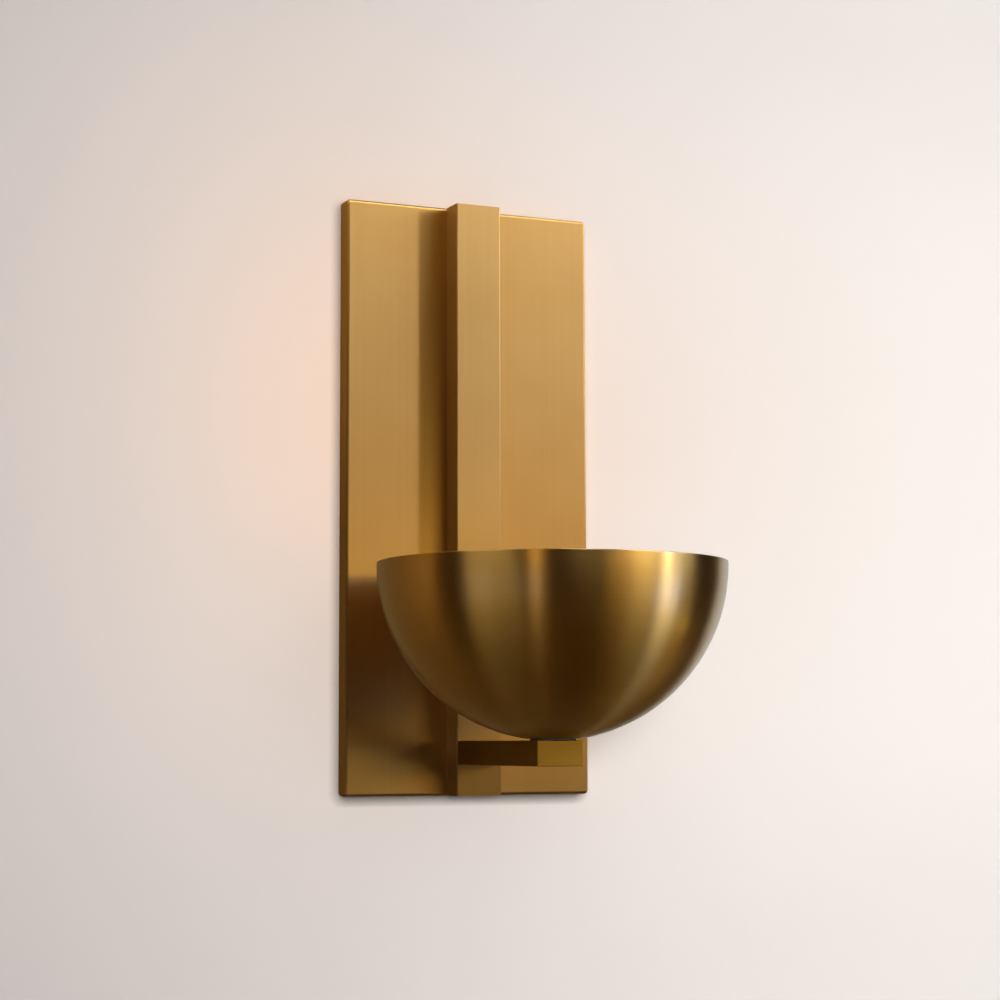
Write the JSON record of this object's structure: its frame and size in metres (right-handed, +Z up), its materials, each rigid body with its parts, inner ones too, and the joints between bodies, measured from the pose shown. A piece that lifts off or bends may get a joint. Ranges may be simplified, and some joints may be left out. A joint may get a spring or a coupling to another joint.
{
  "type": "bowl wall sconce",
  "caption": "Brass wall light: an open bowl on a short square arm in front of a tall flat back plate with a raised spine. The plate slips over a wall bracket, and a lamp pushes into the bowl.",
  "frame": {"origin": "middle of the wall bracket between its box screw slots, on the wall", "axes": "+Y into the wall, +Z up, +X to the right of someone facing the sconce"},
  "size_m": [0.168, 0.193, 0.305],
  "materials": {
    "plate_brass": "satin, brushed upright, lightly aged",
    "spine_brass": "satin, brushed upright, lightly aged",
    "arm_brass": "satin, brushed along its length, lightly aged",
    "bowl_brass": "satin, spun, lightly aged",
    "block_brass": "machined",
    "nipple_brass": "threaded",
    "insert_brass": "machined",
    "contact_brass": "sprung sheet",
    "seat_black": "matt black",
    "bracket_steel": "zinc plated",
    "bridge_steel": "zinc plated",
    "fastener_steel": "zinc plated",
    "ground_green": "green plated",
    "holder_ceramic": "unglazed",
    "lamp_ceramic": "glazed",
    "pin_steel": "plated wire",
    "lamp_glass": "frosted",
    "lamp_source": "phosphor strip",
    "bush_nylon": "natural",
    "terminal_nylon": "natural",
    "live_insulation": "black",
    "neutral_insulation": "white"
  },
  "bodies": {
    "wall": {"wall_bracket": "bracket_steel", "ground_screw": "ground_green", "ground_washer": "fastener_steel"},
    "fixture": {"backplate": "plate_brass", "set_screw_nuts": "block_brass", "set_screws": "fastener_steel", "earth_stud": "fastener_steel", "earth_washer": "fastener_steel", "earth_nut": "fastener_steel", "spine": "spine_brass", "spine_top_plug": "spine_brass", "spine_bottom_plug": "spine_brass", "spine_screws": "fastener_steel", "arm": "arm_brass", "arm_root_block": "block_brass", "arm_end_block": "arm_brass", "arm_screws": "fastener_steel", "wire_bush": "bush_nylon", "bowl": "bowl_brass", "nipple": "nipple_brass", "seat_washer": "seat_black", "bowl_washer": "fastener_steel", "bowl_nut": "nipple_brass", "holder_bridge": "bridge_steel", "holder_nut": "nipple_brass", "nipple_bush": "bush_nylon", "lamp_holder": "holder_ceramic", "holder_contacts": "contact_brass", "holder_screws": "fastener_steel", "live_lead": "live_insulation", "neutral_lead": "neutral_insulation", "terminal_block": "terminal_nylon", "terminal_inserts": "insert_brass", "terminal_screws": "fastener_steel", "terminal_stud": "fastener_steel", "terminal_nut": "fastener_steel"},
    "lamp": {"lamp_base": "lamp_ceramic", "lamp_pins": "pin_steel", "lamp_envelope": "lamp_glass", "lamp_core": "lamp_source"}
  },
  "joints": [
    {"name": "plate_release", "type": "slide", "parent": "wall", "child": "fixture", "axis": [0, -1, 0], "range_m": [0, 0.045]},
    {"name": "lamp_pull", "type": "slide", "parent": "fixture", "child": "lamp", "axis": [0, 0, 1], "range_m": [0, 0.07]}
  ]
}
